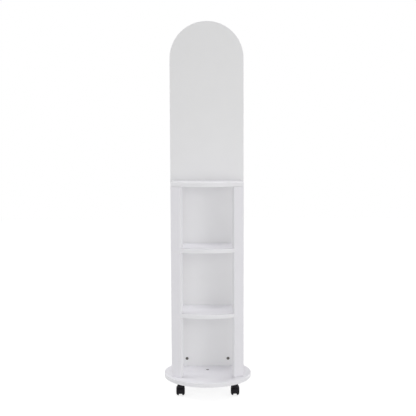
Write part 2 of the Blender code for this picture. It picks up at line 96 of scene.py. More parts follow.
# Proportions of small forms
CAM_RING = 1.5  # from a cam's edge to the dish in its face, in widths of its rim
CAM_SLOT = 1.1  # width and place of the slot for the cam's bolt, in radii of the cam
KEY_LAND = 1.3  # flat round the hexagon in the bolt's head, in radii of the hexagon
NUT_FACE = 0.95  # end faces of the nut, of its width across the flats
LIP_TURN = 1 / 3  # how far in from its corner the hood's rounded lip runs, of the lip
STEM_RIM = 1 / 6  # bevels of the stem, of its collar's height
SOCKET_RIM = 1 / 4  # bevels of the socket, of its flange's height
TREAD_SHARE = 5 / 12  # how far over a wheel's rounded edge the tread reaches

# Fineness of round shapes
RIM_STEPS = 192
ARCH_STEPS = 192
FRONT_STEPS = 384
WHEEL_STEPS = 72
SHOULDER_STEPS = 12
TURNED_STEPS = 40
BORE_STEPS = 32
HEXAGON = 6


def number(name, description, default, **kind):
    return FloatProperty(name=name, description=description, default=default, **kind)


def length(name, description, default):
    return number(name, description, default, min=0, unit="LENGTH", precision=5)


def angle(name, description, degrees):
    return number(name, description, math.radians(degrees), subtype="ANGLE")


def share(name, description, default):
    return number(name, description, default, min=0, soft_max=1)


def power(name, description, default):
    return number(name, description, default, min=0, unit="POWER")


def flats(name, default):
    return IntProperty(name=name, description="Flats round an edge", default=default, min=1)


def colour(name, description, default):
    return FloatVectorProperty(
        name=name, description=description, default=default, size=3, min=0, max=1, subtype="COLOR"
    )


class BoardSettings(bpy.types.PropertyGroup):
    """The white boards"""

    edge_round: length("Edge round", "Radius of a board's edges", 0.001)
    edge_steps: flats("Edge steps", 3)
    seam_width: length("Seam width", "Line where the edge band meets the face", 0.0004)
    seam_depth: length("Seam depth", "Depth of that line", 0.00015)
    post_turn: angle("Post turn", "How far a post's face is turned outwards", 35)
    post_width: length("Post width", "Width of a post's face", 0.047)
    panel_colour: colour("Panel", "Laminate on the arched panel", (0.88, 0.88, 0.885))
    shelf_colour: colour("Shelves", "Laminate on shelves, posts and base", (0.882, 0.873, 0.908))
    band_colour: colour("Edge band", "Band round the boards' edges", (0.90, 0.896, 0.918))
    core_colour: colour("Core", "Pressed chips inside the bores", (0.42, 0.30, 0.19))


class MirrorSettings(bpy.types.PropertyGroup):
    """The mirror glass"""

    polish: length("Polished edge", "Radius of the glass's edges", 0.0009)
    polish_steps: flats("Polish steps", 4)
    silver_colour: colour("Silver", "Tint of the reflection", (0.90, 0.915, 0.912))
    edge_colour: colour("Glass edge", "Green of the glass's edge", (0.36, 0.55, 0.49))
    paint_colour: colour("Back paint", "Paint that guards the silver", (0.30, 0.33, 0.34))


class CasterSettings(bpy.types.PropertyGroup):
    """The four swivel casters"""

    hood_gap: length("Hood gap", "Between a wheel and the hood over it", 0.0008)
    hood_wall: length("Hood wall", "Thickness of the hood over the wheels", 0.0013)
    hood_lip: length("Hood lip", "Rounding of the hood's edge", 0.0007)
    hood_drop: length("Hood drop", "How far below the axle the hood ends", 0.001)
    hood_tilt: angle("Hood tilt", "Slope of the hood's lower edge, down to the front", 20)
    web_clearance: length("Web clearance", "Between a wheel and the web beside it", 0.0008)
    hub_radius: length("Hub radius", "Boss on the web round the axle", 0.008)
    hub_proud: length("Hub height", "How far that boss stands off the web", 0.0004)
    neck_radius: length("Neck radius", "Upright neck round the stem", 0.010)
    neck_height: length("Neck height", "From the neck's flare up to its top", 0.005)
    neck_flare: length("Neck flare", "How much wider the neck is below", 0.002)
    stem_seat: length("Stem seat", "Length of the stem inside the neck", 0.018)
    wheel_round: length("Wheel round", "Radius from a wheel's tread to its outer face", 0.009)
    tread_chamfer: length("Tread chamfer", "Inner edge of a wheel's tread", 0.0006)
    groove: length("Groove", "Width of the line between tread and wheel disc", 0.0006)
    dish_depth: length("Dish depth", "How deep a wheel's face is dished", 0.0010)
    cap_radius: length("Cap radius", "Round cap in the middle of a wheel", 0.0058)
    stem_pin_radius: length("Stem pin radius", "Lower end of the stem, in the hood", 0.0035)
    stem_radius: length("Stem radius", "Upper end of the stem, in the socket", 0.004)
    collar_height: length("Collar height", "Collar between hood and socket", 0.002)
    sleeve_radius: length("Sleeve radius", "Socket's sleeve in the base", 0.00555)
    flange_height: length("Flange height", "Socket's flange under the base", 0.0015)
    hood_colour: colour("Hood", "Moulded hood", (0.0085, 0.0075, 0.0100))
    wheel_colour: colour("Wheel", "Moulded wheel", (0.0080, 0.0075, 0.0090))
    tread_colour: colour("Tread", "Tread ring", (0.0105, 0.0100, 0.0110))


class FittingSettings(bpy.types.PropertyGroup):
    """Cam locks, bolts, dowels and tape"""

    cam_rim: length("Cam rim", "Rounding of a cam's face", 0.0006)
    cross_length: length("Cross length", "Length of the driver cross in a cam", 0.0076)
    cross_width: length("Cross width", "Width of its arms", 0.0014)
    cross_depth: length("Cross depth", "Depth of the cross", 0.0022)
    key_radius: length("Key radius", "Hexagon in the base bolt's head, across its corners", 0.0023)
    key_depth: length("Key depth", "Depth of that hexagon", 0.0016)
    bolt_radius: length("Bolt radius", "Shank of the base bolt", 0.003)
    head_height: length("Head height", "Head of the base bolt", 0.0025)
    zinc_colour: colour("Cast zinc", "Cam locks", (0.155, 0.150, 0.140))
    bolt_colour: colour("Bolt", "Blackened bolt in the base", (0.050, 0.046, 0.050))
    steel_colour: colour("Steel", "Plated stems, sockets, nut and axles", (0.55, 0.55, 0.56))
    beech_colour: colour("Beech", "Dowels", (0.62, 0.43, 0.25))
    tape_colour: colour("Tape", "Foam tape behind the glass", (0.75, 0.75, 0.73))


class StageSettings(bpy.types.PropertyGroup):
    """Floor, light and camera"""

    camera_distance: length("Camera distance", "From the middle of the base, along the floor", 3.3186)
    camera_height: length("Camera height", "Above the floor", 1.02886)
    camera_aside: number("Camera aside", "Off to the right", 0.00361, unit="LENGTH")
    camera_tilt: angle("Camera tilt", "Below level", 4.866)
    camera_roll: angle("Camera roll", "About the line of sight", -0.195)
    camera_heading: angle("Camera heading", "About the upright", -0.282)
    focal_pixels: number("Focal length", "In picture pixels", 824.393, min=1)
    floor_size: length("Floor size", "Length of the floor's side", 14)
    floor_colour: colour("Floor", "Pale floor", (0.782, 0.782, 0.782))
    floor_shadow: share("Floor shadow", "How much of the floor's own shading the camera sees", 0.45)
    floor_white: share("Floor white", "White that the camera sees in the floor's shadow too", 0.832)
    sky_strength: share("Sky strength", "Even light from all round", 0.492)
    lamp_size: length("Lamp size", "Side of each square soft lamp", 1.6)
    lamp_distance: length("Lamp distance", "From each lamp to where it looks", 3.2)
    lamp_aim: length("Lamp aim", "Height at which the lamps look", 0.75)
    right_power: power("Right lamp", "Soft lamp on the right, towards the rear", 32.2)
    right_turn: angle("Right turn", "Round from the front", 125)
    right_rise: angle("Right rise", "Up from level", 25)
    left_power: power("Left lamp", "Soft lamp high on the left", 39.2)
    left_turn: angle("Left turn", "Round from the front", -100)
    left_rise: angle("Left rise", "Up from level", 50)
    front_power: power("Front lamp", "Soft lamp at the camera", 9.1)
    front_turn: angle("Front turn", "Round from the front", 0)
    front_rise: angle("Front rise", "Up from level", 5)
    beside_power: power("Beside lamp", "Soft lamp to the right of the camera", 15.8)
    beside_turn: angle("Beside turn", "Round from the front", 30)
    beside_rise: angle("Beside rise", "Up from level", 5)


SETTINGS = {
    "mirror_boards": BoardSettings,
    "mirror_glass": MirrorSettings,
    "mirror_casters": CasterSettings,
    "mirror_fittings": FittingSettings,
    "mirror_stage": StageSettings,
}


# Finishes


class Wire:
    """A shader socket that is written into sums. Each sum adds its Math node."""

    def __init__(self, finish, socket):
        self.finish = finish
        self.socket = socket

    def maths(self, operation, first, second):
        return self.finish.node("Math", {"operation": operation}, {0: first, 1: second})

    def __add__(self, other):
        return self.maths("ADD", self, other)

    def __sub__(self, other):
        return self.maths("SUBTRACT", self, other)

    def __rsub__(self, other):
        return self.maths("SUBTRACT", other, self)

    def __mul__(self, other):
        return self.maths("MULTIPLY", self, other)

    __radd__ = __add__
    __rmul__ = __mul__


class Finish:
    """The nodes of one material, or of the world."""

    def __init__(self, owner):
        owner.use_nodes = True
        self.owner = owner
        self.tree = owner.node_tree
        self.tree.nodes.clear()

    def node(self, kind, settings=None, sockets=None, output=0):
        """Adds a node, its settings first, then its sockets' values or wires. Gives its output."""
        made = self.tree.nodes.new("ShaderNode" + kind)
        for name, value in (settings or {}).items():
            setattr(made, name, value)
        for name, value in (sockets or {}).items():
            if isinstance(value, Wire):
                self.tree.links.new(value.socket, made.inputs[name])
            else:
                made.inputs[name].default_value = value
        return Wire(self, made.outputs[output]) if made.outputs else None

    def place(self, stretch=None):
        """A point of the piece, in metres, which may be stretched along its axes."""
        spot = self.node("TexCoord", output="Object")
        if stretch is None:
            return spot
        return self.node("Mapping", {}, {"Vector": spot, "Scale": stretch})

    def noise(self, scale, detail, stretch=None):
        """Cloudy values about one half, with this many clouds to a metre."""
        spot = self.place(stretch)
        return self.node("TexNoise", {}, {"Vector": spot, "Scale": scale, "Detail": detail})

    def ramp(self, value, low, high):
        """Nought below a low value, one above a high one, and smooth between."""
        sockets = {"Value": value, "From Min": low, "From Max": high}
        return self.node("MapRange", {"interpolation_type": "SMOOTHSTEP"}, sockets)

    def blend(self, amount, first, second):
        """One colour turning into another. The sockets go by number, because their names repeat."""
        sockets = {0: amount, 6: opaque(first), 7: opaque(second)}
        return self.node("Mix", {"data_type": "RGBA"}, sockets, output=2)

    def vary(self, amount, base, first, second):
        """A colour turning from one share of its brightness to another."""
        return self.blend(amount, shade(base, first), shade(base, second))

    def bump(self, height, depth):
        """A relief of this depth in metres."""
        return self.node("Bump", {}, {"Height": height, "Distance": depth, "Strength": 1.0})

    def close(self, **values):
        """Ends the material in its shader. Names are the shader's own, with _ for a space."""
        sockets = {name.replace("_", " "): value for name, value in values.items()}
        shader = self.node("BsdfPrincipled", {}, sockets)
        self.node("OutputMaterial", {}, {"Surface": shader})
        return self.owner


def shade(base, factor):
    """A colour made darker or lighter."""
    return tuple(min(1, part * factor) for part in base)


def opaque(base):
    return (*base, 1)


def laminate(finish, base):
    """Satin white laminate: a fine pressed pebble, faint clouds and a little handling."""
    pebble = finish.noise(1100, 3)
    clouds = finish.noise(14, 4)
    handling = finish.ramp(finish.noise(5, 5), 0.45, 0.75)
    return finish.close(
        Base_Color=finish.vary(clouds, base, 0.985, 1.015),
        Roughness=0.40 + 0.08 * handling + 0.05 * pebble,
        Normal=finish.bump(pebble, 0.00002),
        IOR=1.5,
    )


def edge_band(finish, base):
    """Plain band: smoother than the faces, with the faint ripple of its trimming."""
    ripple = finish.noise(700, 3)
    clouds = finish.noise(30, 3)
    return finish.close(
        Base_Color=finish.vary(clouds, base, 0.985, 1.01),
        Roughness=0.34 + 0.12 * ripple,
        Normal=finish.bump(ripple, 0.00001),
        IOR=1.5,
    )


def chipboard(finish, base):
    """Pressed wood chips inside a bore."""
    stretch = (1, 1, 2.5)
    chips = finish.noise(420, 4, stretch)
    dust = finish.noise(1600, 2, stretch)
    return finish.close(
        Base_Color=finish.vary(chips, base, 0.55, 1.35),
        Roughness=0.85 + 0.1 * dust,
        Normal=finish.bump(chips, 0.0002),
    )


def silver(finish, base):
    """Silvered glass with the faintest wiping marks."""
    marks = finish.ramp(finish.noise(7, 4, (1, 1, 0.35)), 0.52, 0.80)
    return finish.close(
        Base_Color=finish.vary(marks, base, 1, 0.985),
        Metallic=1.0,
        Roughness=0.012 + 0.03 * marks,
    )


def glass_edge(finish, base):
    """Polished edge of clear glass, green along its depth."""
    depth = finish.noise(60, 3)
    return finish.close(
        Base_Color=finish.vary(depth, base, 0.85, 1.2),
        Roughness=0.07 + 0.08 * depth,
        IOR=1.52,
        Coat_Weight=0.4,
    )


def back_paint(finish, base):
    """Flat paint on the back of the glass."""
    grain = finish.noise(700, 3)
    streaks = finish.noise(40, 3, (1, 1, 0.1))
    return finish.close(
        Base_Color=finish.vary(streaks, base, 0.9, 1.1),
        Roughness=0.6 + 0.2 * grain,
        Normal=finish.bump(grain, 0.00003),
    )


def moulded(finish, base):
    """Black moulded plastic: a fine grain, rubbed shinier in patches, with a little dust on top."""
    grain = finish.noise(2600, 3)
    rubbed = finish.ramp(finish.noise(90, 4), 0.42, 0.70)
    facing = finish.node("TexCoord", output="Normal")
    upward = finish.node("SeparateXYZ", {}, {"Vector": facing}, output="Z")
    dust = finish.ramp(upward, 0.5, 1.0) * finish.noise(700, 4)
    return finish.close(
        Base_Color=finish.blend(dust * 0.05, base, (0.20, 0.19, 0.18)),
        Roughness=0.50 + 0.10 * grain - 0.14 * rubbed,
        Normal=finish.bump(grain, 0.00006),
        Specular_IOR_Level=0.15,
    )


def wheel_core(finish, base):
    """Nylon wheel disc, smoother than the hood."""
    grain = finish.noise(1500, 2)
    flow = finish.noise(130, 4)
    return finish.close(
        Base_Color=finish.vary(flow, base, 0.85, 1.3),
        Roughness=0.36 + 0.16 * flow,
        Normal=finish.bump(grain, 0.00003),
        Specular_IOR_Level=0.18,
    )


def tread(finish, base):
    """Tread ring, dulled and scuffed by the floor."""
    scuffs = finish.ramp(finish.noise(260, 4, (6, 1, 1)), 0.5, 0.72)
    grain = finish.noise(2200, 3)
    return finish.close(
        Base_Color=finish.blend(scuffs * 0.25, base, (0.060, 0.056, 0.053)),
        Roughness=0.62 + 0.22 * scuffs,
        Normal=finish.bump(grain + scuffs, 0.00005),
        Specular_IOR_Level=0.12,
    )


def cast_zinc(finish, base):
    """Die-cast zinc, tumbled: dark in its pores and brighter where it was rubbed."""
    pores = finish.noise(1900, 4)
    rubbed = finish.ramp(finish.noise(520, 3), 0.45, 0.68)
    return finish.close(
        Base_Color=finish.vary(rubbed, base, 0.75, 1.7),
        Metallic=0.85 + 0.15 * rubbed,
        Roughness=0.50 - 0.16 * rubbed,
        Normal=finish.bump(pores, 0.00007),
    )


def plated_steel(finish, base):
    """Turned steel with a thin plating, lined round by the tool."""
    lines = finish.noise(240, 3, (1, 1, 18))
    bloom = finish.noise(300, 3)
    return finish.close(
        Base_Color=finish.vary(bloom, base, 0.82, 1.1),
        Metallic=1.0,
        Roughness=0.24 + 0.18 * lines,
        Normal=finish.bump(lines, 0.00002),
    )


def beech(finish, base):
    """Planed beech with short dark flecks."""
    grain = finish.noise(900, 4, (1, 1, 0.12))
    flecks = finish.ramp(finish.noise(1700, 2, (1, 1, 0.3)), 0.60, 0.72)
    return finish.close(
        Base_Color=finish.vary(grain + 0.4 * flecks, base, 1.15, 0.68),
        Roughness=0.60 + 0.15 * grain,
        Normal=finish.bump(grain, 0.0001),
    )


def foam(finish, base):
    """Closed-cell foam tape."""
    cells = finish.node("TexVoronoi", {}, {"Vector": finish.place(), "Scale": 1600})
    return finish.close(
        Base_Color=finish.vary(cells, base, 0.82, 1.05),
        Roughness=0.85 + 0.1 * cells,
        Normal=finish.bump(cells, 0.0002),
    )


def finish_of(make, base):
    """The material that a recipe makes in a colour, made once."""
    name = "_".join([make.__name__, *(f"{part:.3f}" for part in base)])
    found = bpy.data.materials.get(name)
    return found or make(Finish(bpy.data.materials.new(name)), tuple(base))


# Modelling by hand, where an open mesh is one in edit mode


def open_mesh():
    bpy.ops.object.mode_set(mode="EDIT")


def close_mesh():
    bpy.ops.object.mode_set(mode="OBJECT")


def activate(piece):
    bpy.ops.object.select_all(action="DESELECT")
    piece.select_set(True)
    bpy.context.view_layer.objects.active = piece


def begin(add, **settings):
    """Adds a primitive with nothing else selected, takes its place into its mesh and opens it."""
    bpy.ops.object.select_all(action="DESELECT")
    add(**settings)
    bpy.ops.object.transform_apply(location=True, rotation=True, scale=True)
    open_mesh()
    bpy.ops.mesh.select_all(action="SELECT")
    return bpy.context.object


def on_all(operator, **settings):
    """Runs an operator on the whole open mesh."""
    bpy.ops.mesh.select_all(action="SELECT")
    operator(**settings)


def extrude(offset):
    bpy.ops.mesh.extrude_region_move(TRANSFORM_OT_translate={"value": offset})


def pick(kind, test):
    """Selects the open mesh's faces or edges that pass a test, and nothing else."""
    bpy.context.tool_settings.mesh_select_mode = (False, kind == "edges", kind == "faces")
    bpy.ops.mesh.select_all(action="DESELECT")
    mesh = bpy.context.edit_object.data
    shape = bmesh.from_edit_mesh(mesh)
    chosen = [item for item in getattr(shape, kind) if test(item)]
    if not chosen:
        raise RuntimeError(f"{bpy.context.edit_object.name}: no {kind} to pick")
    for item in chosen:
        item.select_set(True)
    bmesh.update_edit_mesh(mesh)


def is_sharp(edge):
    return edge.is_manifold and edge.calc_face_angle() > SHARP


def cut(point, normal, **settings):
    """Cuts the open mesh along a plane."""
    on_all(bpy.ops.mesh.bisect, plane_co=point, plane_no=normal, threshold=WELD, **settings)


def trim(point, normal, fill=False):
    """Cuts off what lies beyond a plane."""
    cut(point, normal, clear_outer=True, use_fill=fill)


def settle():
    """Merges the open mesh's doubles, turns its faces outwards and closes it."""
    on_all(bpy.ops.mesh.remove_doubles, threshold=WELD)
    on_all(bpy.ops.mesh.normals_make_consistent, inside=False)
    close_mesh()


def combine(piece, other, operation="DIFFERENCE"):
    """Cuts another shape out of a piece, or joins it on. The other shape is used up."""
    change = piece.modifiers.new(operation, "BOOLEAN")
    change.operation = operation
    change.solver = "EXACT"
    change.material_mode = "TRANSFER"
    change.object = other
    activate(piece)
    bpy.ops.object.modifier_apply(modifier=change.name)
    bpy.data.objects.remove(other, do_unlink=True)


def smooth(piece):
    """Smooth shading that leaves the large faces flat."""
    activate(piece)
    bpy.ops.object.shade_smooth_by_angle(angle=SHARP)
    change = piece.modifiers.new("weigh", "WEIGHTED_NORMAL")
    change.keep_sharp = True
    bpy.ops.object.modifier_apply(modifier=change.name)


def turned(profile, steps=TURNED_STEPS):
    """Turns points of radius and height about Z, ring by ring.

    The ends are capped, unless the profile closes on itself and so leaves a hole.
    """
    radius, height = profile[0]
    circle = {"vertices": steps, "radius": radius, "location": UP * height}
    piece = begin(bpy.ops.mesh.primitive_circle_add, **circle)
    if profile[0] != profile[-1]:
        bpy.ops.mesh.edge_face_add()
        bpy.context.tool_settings.mesh_select_mode = (False, True, False)
    for next_radius, next_height in profile[1:]:
        extrude(UP * (next_height - height))
        growth = next_radius / radius
        bpy.ops.transform.resize(value=(growth, growth, 1), center_override=UP * next_height)
        radius, height = next_radius, next_height
    settle()
    return piece


def peg(middle, direction, radius, reach, steps=BORE_STEPS):
    """A round cutter, centred on its middle."""
    turn = direction.to_track_quat("Z", "Y").to_euler()
    size = {"vertices": steps, "radius": radius, "depth": reach}
    cutter = begin(bpy.ops.mesh.primitive_cylinder_add, **size, location=middle, rotation=turn)
    close_mesh()
    return cutter


def block(size, middle):
    """A square-edged cutter, centred on its middle."""
    cutter = begin(bpy.ops.mesh.primitive_cube_add, size=1)
    bpy.ops.transform.resize(value=size)
    bpy.ops.transform.translate(value=middle)
    close_mesh()
    return cutter


def disc(steps, radius, middle, turn=(0, 0, 0)):
    """Opens a flat round sheet."""
    size = {"vertices": steps, "radius": radius, "fill_type": "NGON"}
    begin(bpy.ops.mesh.primitive_circle_add, **size, location=middle, rotation=turn)


def moved(piece, place):
    """Takes a place or turn into a piece's mesh."""
    activate(piece)
    piece.matrix_world = place
    bpy.ops.object.transform_apply(location=True, rotation=True, scale=True)
    return piece


def lying(middle, direction):
    """Where a piece that was turned about Z goes, so that its axis runs in a direction."""
    return Matrix.Translation(middle) @ direction.to_track_quat("Z", "Y").to_matrix().to_4x4()


def copied(piece, place):
    """A copy with its own mesh, at a place."""
    activate(piece)
    bpy.ops.object.duplicate(linked=False)
    return moved(bpy.context.object, place)


def paint(piece, *materials):
    piece.data.materials.clear()
    for material in materials:
        piece.data.materials.append(material)


def coat(slot):
    """Gives the open mesh's picked faces one of its materials."""
    bpy.context.edit_object.active_material_index = slot
    bpy.ops.object.material_slot_assign()


def completed(piece, place, material):
    """Sets a piece in its place, in one material."""
    moved(piece, place)
    paint(piece, material)
    smooth(piece)
    return piece


def show(piece, node):
    """Names a piece after the packed node that it stands for, and carries it on that node's body."""
    piece.name = piece.data.name = f"{node}_finished"
    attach(piece, frame["nodes"][node]["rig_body"])
    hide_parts(node)


def middle_of(node):
    """The middle of a packed node's box."""
    low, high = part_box(node)
    return (low + high) / 2


def half_of(node):
    """Half a packed node's size along each axis."""
    low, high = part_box(node)
    return (high - low) / 2


def pin_line(node):
    """How a packed pin runs: its middle, direction, length and radius."""
    points = np.array([vertex.co for vertex in frame["nodes"][node].data.vertices])
    middle = (points.min(0) + points.max(0)) / 2
    points -= middle
    direction = np.linalg.svd(points, full_matrices=False)[2][0]
    along = points @ direction
    radius = np.linalg.norm(points - np.outer(along, direction), axis=1).max()
    return Vector(middle), Vector(direction), 2 * along.max(), radius


def boxes_meet(first, second):
    """Whether the boxes of two packed nodes overlap."""
    (low_a, high_a), (low_b, high_b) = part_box(first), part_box(second)
    return all(a < d and c < b for a, b, c, d in zip(low_a, high_a, low_b, high_b))


# Boards


def thicken(thickness, shortest=WELD):
    """Gives the open flat outline its thickness, without edges below the shortest length."""
    on_all(bpy.ops.mesh.dissolve_limited, angle_limit=STRAIGHT)
    on_all(bpy.ops.mesh.dissolve_degenerate, threshold=shortest)
    bpy.ops.mesh.select_all(action="SELECT")
    extrude(thickness)
    on_all(bpy.ops.mesh.normals_make_consistent, inside=False)


def raise_board(settings, thickness, face_colour, butt=None):
    """Makes the open flat outline a board, with rounded edges and a seam where the edge band ends.

    The end that butts on another board, given by a point and a direction, stays square.
    """

    def is_rounded(edge):
        if butt and all(abs((vertex.co - butt[0]).dot(butt[1])) < WELD for vertex in edge.verts):
            return False
        return is_sharp(edge)

    thicken(thickness, 2 * settings.edge_round)
    pick("edges", is_rounded)
    bpy.ops.mesh.bevel(offset=settings.edge_round, segments=settings.edge_steps, affect="EDGES")
    across = thickness.normalized()
    pick("faces", lambda face: abs(face.normal.dot(across)) > FLAT)
    half_seam = settings.seam_width / 2
    bpy.ops.mesh.inset(thickness=half_seam, depth=-settings.seam_depth)
    bpy.ops.mesh.inset(thickness=half_seam, depth=settings.seam_depth)
    piece = bpy.context.edit_object
    paint(piece, finish_of(edge_band, settings.band_colour), finish_of(laminate, face_colour))
    coat(1)
    settle()
    return piece


def bore(settings, piece, middle, direction, radius, reach):
    """Drills a board. The cutter is centred on its middle."""
    cutter = peg(middle, direction, radius, reach)
    paint(cutter, finish_of(chipboard, settings.core_colour))
    combine(piece, cutter)


def finish_board(settings, piece, node):
    """Bores a board for the dowels that run into it, and shows it."""
    for pin in frame["nodes"]:
        if pin.endswith("_dowel") and boxes_meet(pin, node):
            middle, direction, reach, radius = pin_line(pin)
            bore(settings, piece, middle, direction, radius + FIT_GAP, reach + 2 * FIT_GAP)
    smooth(piece)
    show(piece, node)


def arch_outline(node):
    """Opens a flat arch on the -Y side of a packed arched sheet."""
    low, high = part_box(node)
    half = half_of(node).x
    spring = Vector((0, low.y, high.z - half))
    disc(ARCH_STEPS, half, spring, (math.pi / 2, 0, 0))
    trim(spring, -UP)
    pick("edges", lambda edge: all(abs(v.co.z - spring.z) < WELD for v in edge.verts))
    extrude(UP * (low.z - spring.z))


def front_outline(node, centre_y):
    """Opens a flat board with a curved front, straight sides and a straight back."""
    low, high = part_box(node)
    disc(FRONT_STEPS, centre_y - low.y, (0, centre_y, low.z))
    trim(high, Y_AXIS)
    trim(high, X_AXIS)
    trim(low, -X_AXIS)


def post_axes(settings, side):
    """A post's directions: out of its face, and along its width away from the middle."""
    turn = settings.post_turn
    outward = Vector((SIDES[side] * math.sin(turn), -math.cos(turn), 0))
    return outward, UP.cross(outward) * SIDES[side]


class MIRROR_OT_base(bpy.types.Operator):
    """Model the round base board"""

    bl_idname = "mirror.base"
    bl_label = "Round base"

    def execute(self, context):
        settings = context.scene.mirror_boards
        casters = context.scene.mirror_casters
        fittings = context.scene.mirror_fittings
        low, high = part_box("base_board")
        thickness = high.z - low.z
        disc(RIM_STEPS, high.x, UP * low.z)
        piece = raise_board(settings, UP * thickness, settings.shelf_colour)
        for caster in CASTERS:
            place = middle_of(f"{caster}_stem")
            place.z = low.z
            reach = 2 * (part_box(f"{caster}_socket")[1].z + FIT_GAP - low.z)
            bore(settings, piece, place, UP, casters.sleeve_radius + FIT_GAP, reach)
        head = middle_of("base_bolt")
        head.z = high.z
        bore(settings, piece, head, UP, fittings.bolt_radius + FIT_GAP, THROUGH * thickness)
        head_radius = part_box("base_bolt")[1].x + FIT_GAP
        bore(settings, piece, head, UP, head_radius, 2 * (fittings.head_height + FIT_GAP))
        for side in SIDES:
            # A blind bore, from the bolt's foot up
            middle = middle_of(f"{side}_cam_bolt")
            middle.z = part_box(f"{side}_cam_bolt")[0].z + thickness
            bore(settings, piece, middle, UP, fittings.bolt_radius, 2 * thickness)
        finish_board(settings, piece, "base_board")
        return {"FINISHED"}


class MIRROR_OT_panel(bpy.types.Operator):
    """Model the arched back panel"""

    bl_idname = "mirror.panel"
    bl_label = "Arched panel"

    def execute(self, context):
        settings = context.scene.mirror_boards
        low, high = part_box("back_panel")
        arch_outline("back_panel")
        piece = raise_board(settings, Y_AXIS * (high.y - low.y), settings.panel_colour, (low, UP))
        for side in SIDES:
            cam, bolt = f"{side}_cam", f"{side}_cam_bolt"
            half = half_of(cam)
            mouth = middle_of(cam) - Y_AXIS * half.y
            bore(settings, piece, mouth, Y_AXIS, half.x + FIT_GAP, 2 * (2 * half.y + FIT_GAP))
            foot = middle_of(bolt)
            foot.z = low.z
            bore(settings, piece, foot, UP, half_of(bolt).x + FIT_GAP, 2 * (mouth.z - low.z))
        finish_board(settings, piece, "back_panel")
        return {"FINISHED"}


def cut_notch(settings, side, thickness):
    """Cuts the open outline away where a post stands."""
    post = middle_of(f"{side}_post")
    outward, along = post_axes(settings, side)
    inner = post - along * (settings.post_width / 2 + FIT_GAP)
    back = post - outward * (thickness / 2 + FIT_GAP)
    cut(inner, along)
    cut(back, outward)

    def in_notch(face):
        middle = face.calc_center_median()
        return (middle - inner).dot(along) > 0 and (middle - back).dot(outward) > 0

    pick("faces", in_notch)
    bpy.ops.mesh.delete(type="FACE")


class MIRROR_OT_shelves(bpy.types.Operator):
    """Model the top board and the two shelves"""

    bl_idname = "mirror.shelves"
    bl_label = "Shelves"

    def execute(self, context):
        settings = context.scene.mirror_boards
        post = middle_of("right_post")
        centre_y = post.y + post.x / math.tan(settings.post_turn)
        for node in ("top_board", "upper_shelf", "lower_shelf"):
            low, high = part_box(node)
            thickness = high.z - low.z
            front_outline(node, centre_y)
            if node != "top_board":
                for side in SIDES:
                    cut_notch(settings, side, thickness)
            piece = raise_board(settings, UP * thickness, settings.shelf_colour, (high, Y_AXIS))
            finish_board(settings, piece, node)
        return {"FINISHED"}


class MIRROR_OT_posts(bpy.types.Operator):
    """Model the two front posts"""

    bl_idname = "mirror.posts"
    bl_label = "Posts"

    def execute(self, context):
        settings = context.scene.mirror_boards
        thickness = 2 * half_of("base_board").z
        for side, sign in SIDES.items():
            node = f"{side}_post"
            outward = post_axes(settings, side)[0]
            sheet = begin(bpy.ops.mesh.primitive_plane_add, size=1, rotation=(math.pi / 2, 0, 0))
            bpy.ops.transform.resize(value=(settings.post_width, 1, 2 * half_of(node).z))
            close_mesh()
            back = Matrix.Translation(middle_of(node) - outward * thickness / 2)
            moved(sheet, back @ Matrix.Rotation(sign * settings.post_turn, 4, "Z"))
            open_mesh()
            piece = raise_board(settings, outward * thickness, settings.shelf_colour)
            finish_board(settings, piece, node)
        return {"FINISHED"}


# Mirror glass


class MIRROR_OT_glass(bpy.types.Operator):
    """Model the mirror glass"""

    bl_idname = "mirror.glass"
    bl_label = "Mirror glass"

    def execute(self, context):
        settings = context.scene.mirror_glass
        arch_outline("mirror_glass")
        thicken(Y_AXIS * 2 * half_of("mirror_glass").y)
        pick("edges", is_sharp)
        bpy.ops.mesh.bevel(offset=settings.polish, segments=settings.polish_steps, affect="EDGES")
        piece = bpy.context.edit_object
        paint(
            piece,
            finish_of(glass_edge, settings.edge_colour),
            finish_of(silver, settings.silver_colour),
            finish_of(back_paint, settings.paint_colour),
        )
        for slot, facing in ((1, Y_AXIS), (2, -Y_AXIS)):
            pick("faces", lambda face: face.normal.dot(facing) > FLAT)
            coat(slot)
        settle()
        smooth(piece)
        show(piece, "mirror_glass")
        return {"FINISHED"}


# Cam locks, bolt and nut


def model_cams(settings, zinc):
    """Two cam locks, with a driver's cross and a slot for the bolt."""
    half = half_of("left_cam")
    radius, depth = half.x, 2 * half.y
    rim = settings.cam_rim
    dish = CAM_RING * rim
    profile = [(radius, -depth), (radius, -rim), (radius - rim, 0)]
    profile += [(radius - dish, 0), (radius - dish - rim / 2, -rim / 2)]
    cam = turned(profile)
    arm, width, cross = settings.cross_length, settings.cross_width, 2 * settings.cross_depth
    slot = CAM_SLOT * radius
    combine(cam, block((arm, width, cross), Vector()))
    combine(cam, block((width, arm, cross), Vector()))
    combine(cam, block((slot, 2 * radius, half.y), (0, -slot, half.y / 2 - depth - FIT_GAP)))
    paint(cam, zinc)
    smooth(cam)
    for side in SIDES:
        face = middle_of(f"{side}_cam") - Y_AXIS * half.y
        piece = copied(cam, Matrix.Translation(face) @ Matrix.Rotation(math.pi / 2, 4, "X"))
        show(piece, f"{side}_cam")
    bpy.data.objects.remove(cam, do_unlink=True)


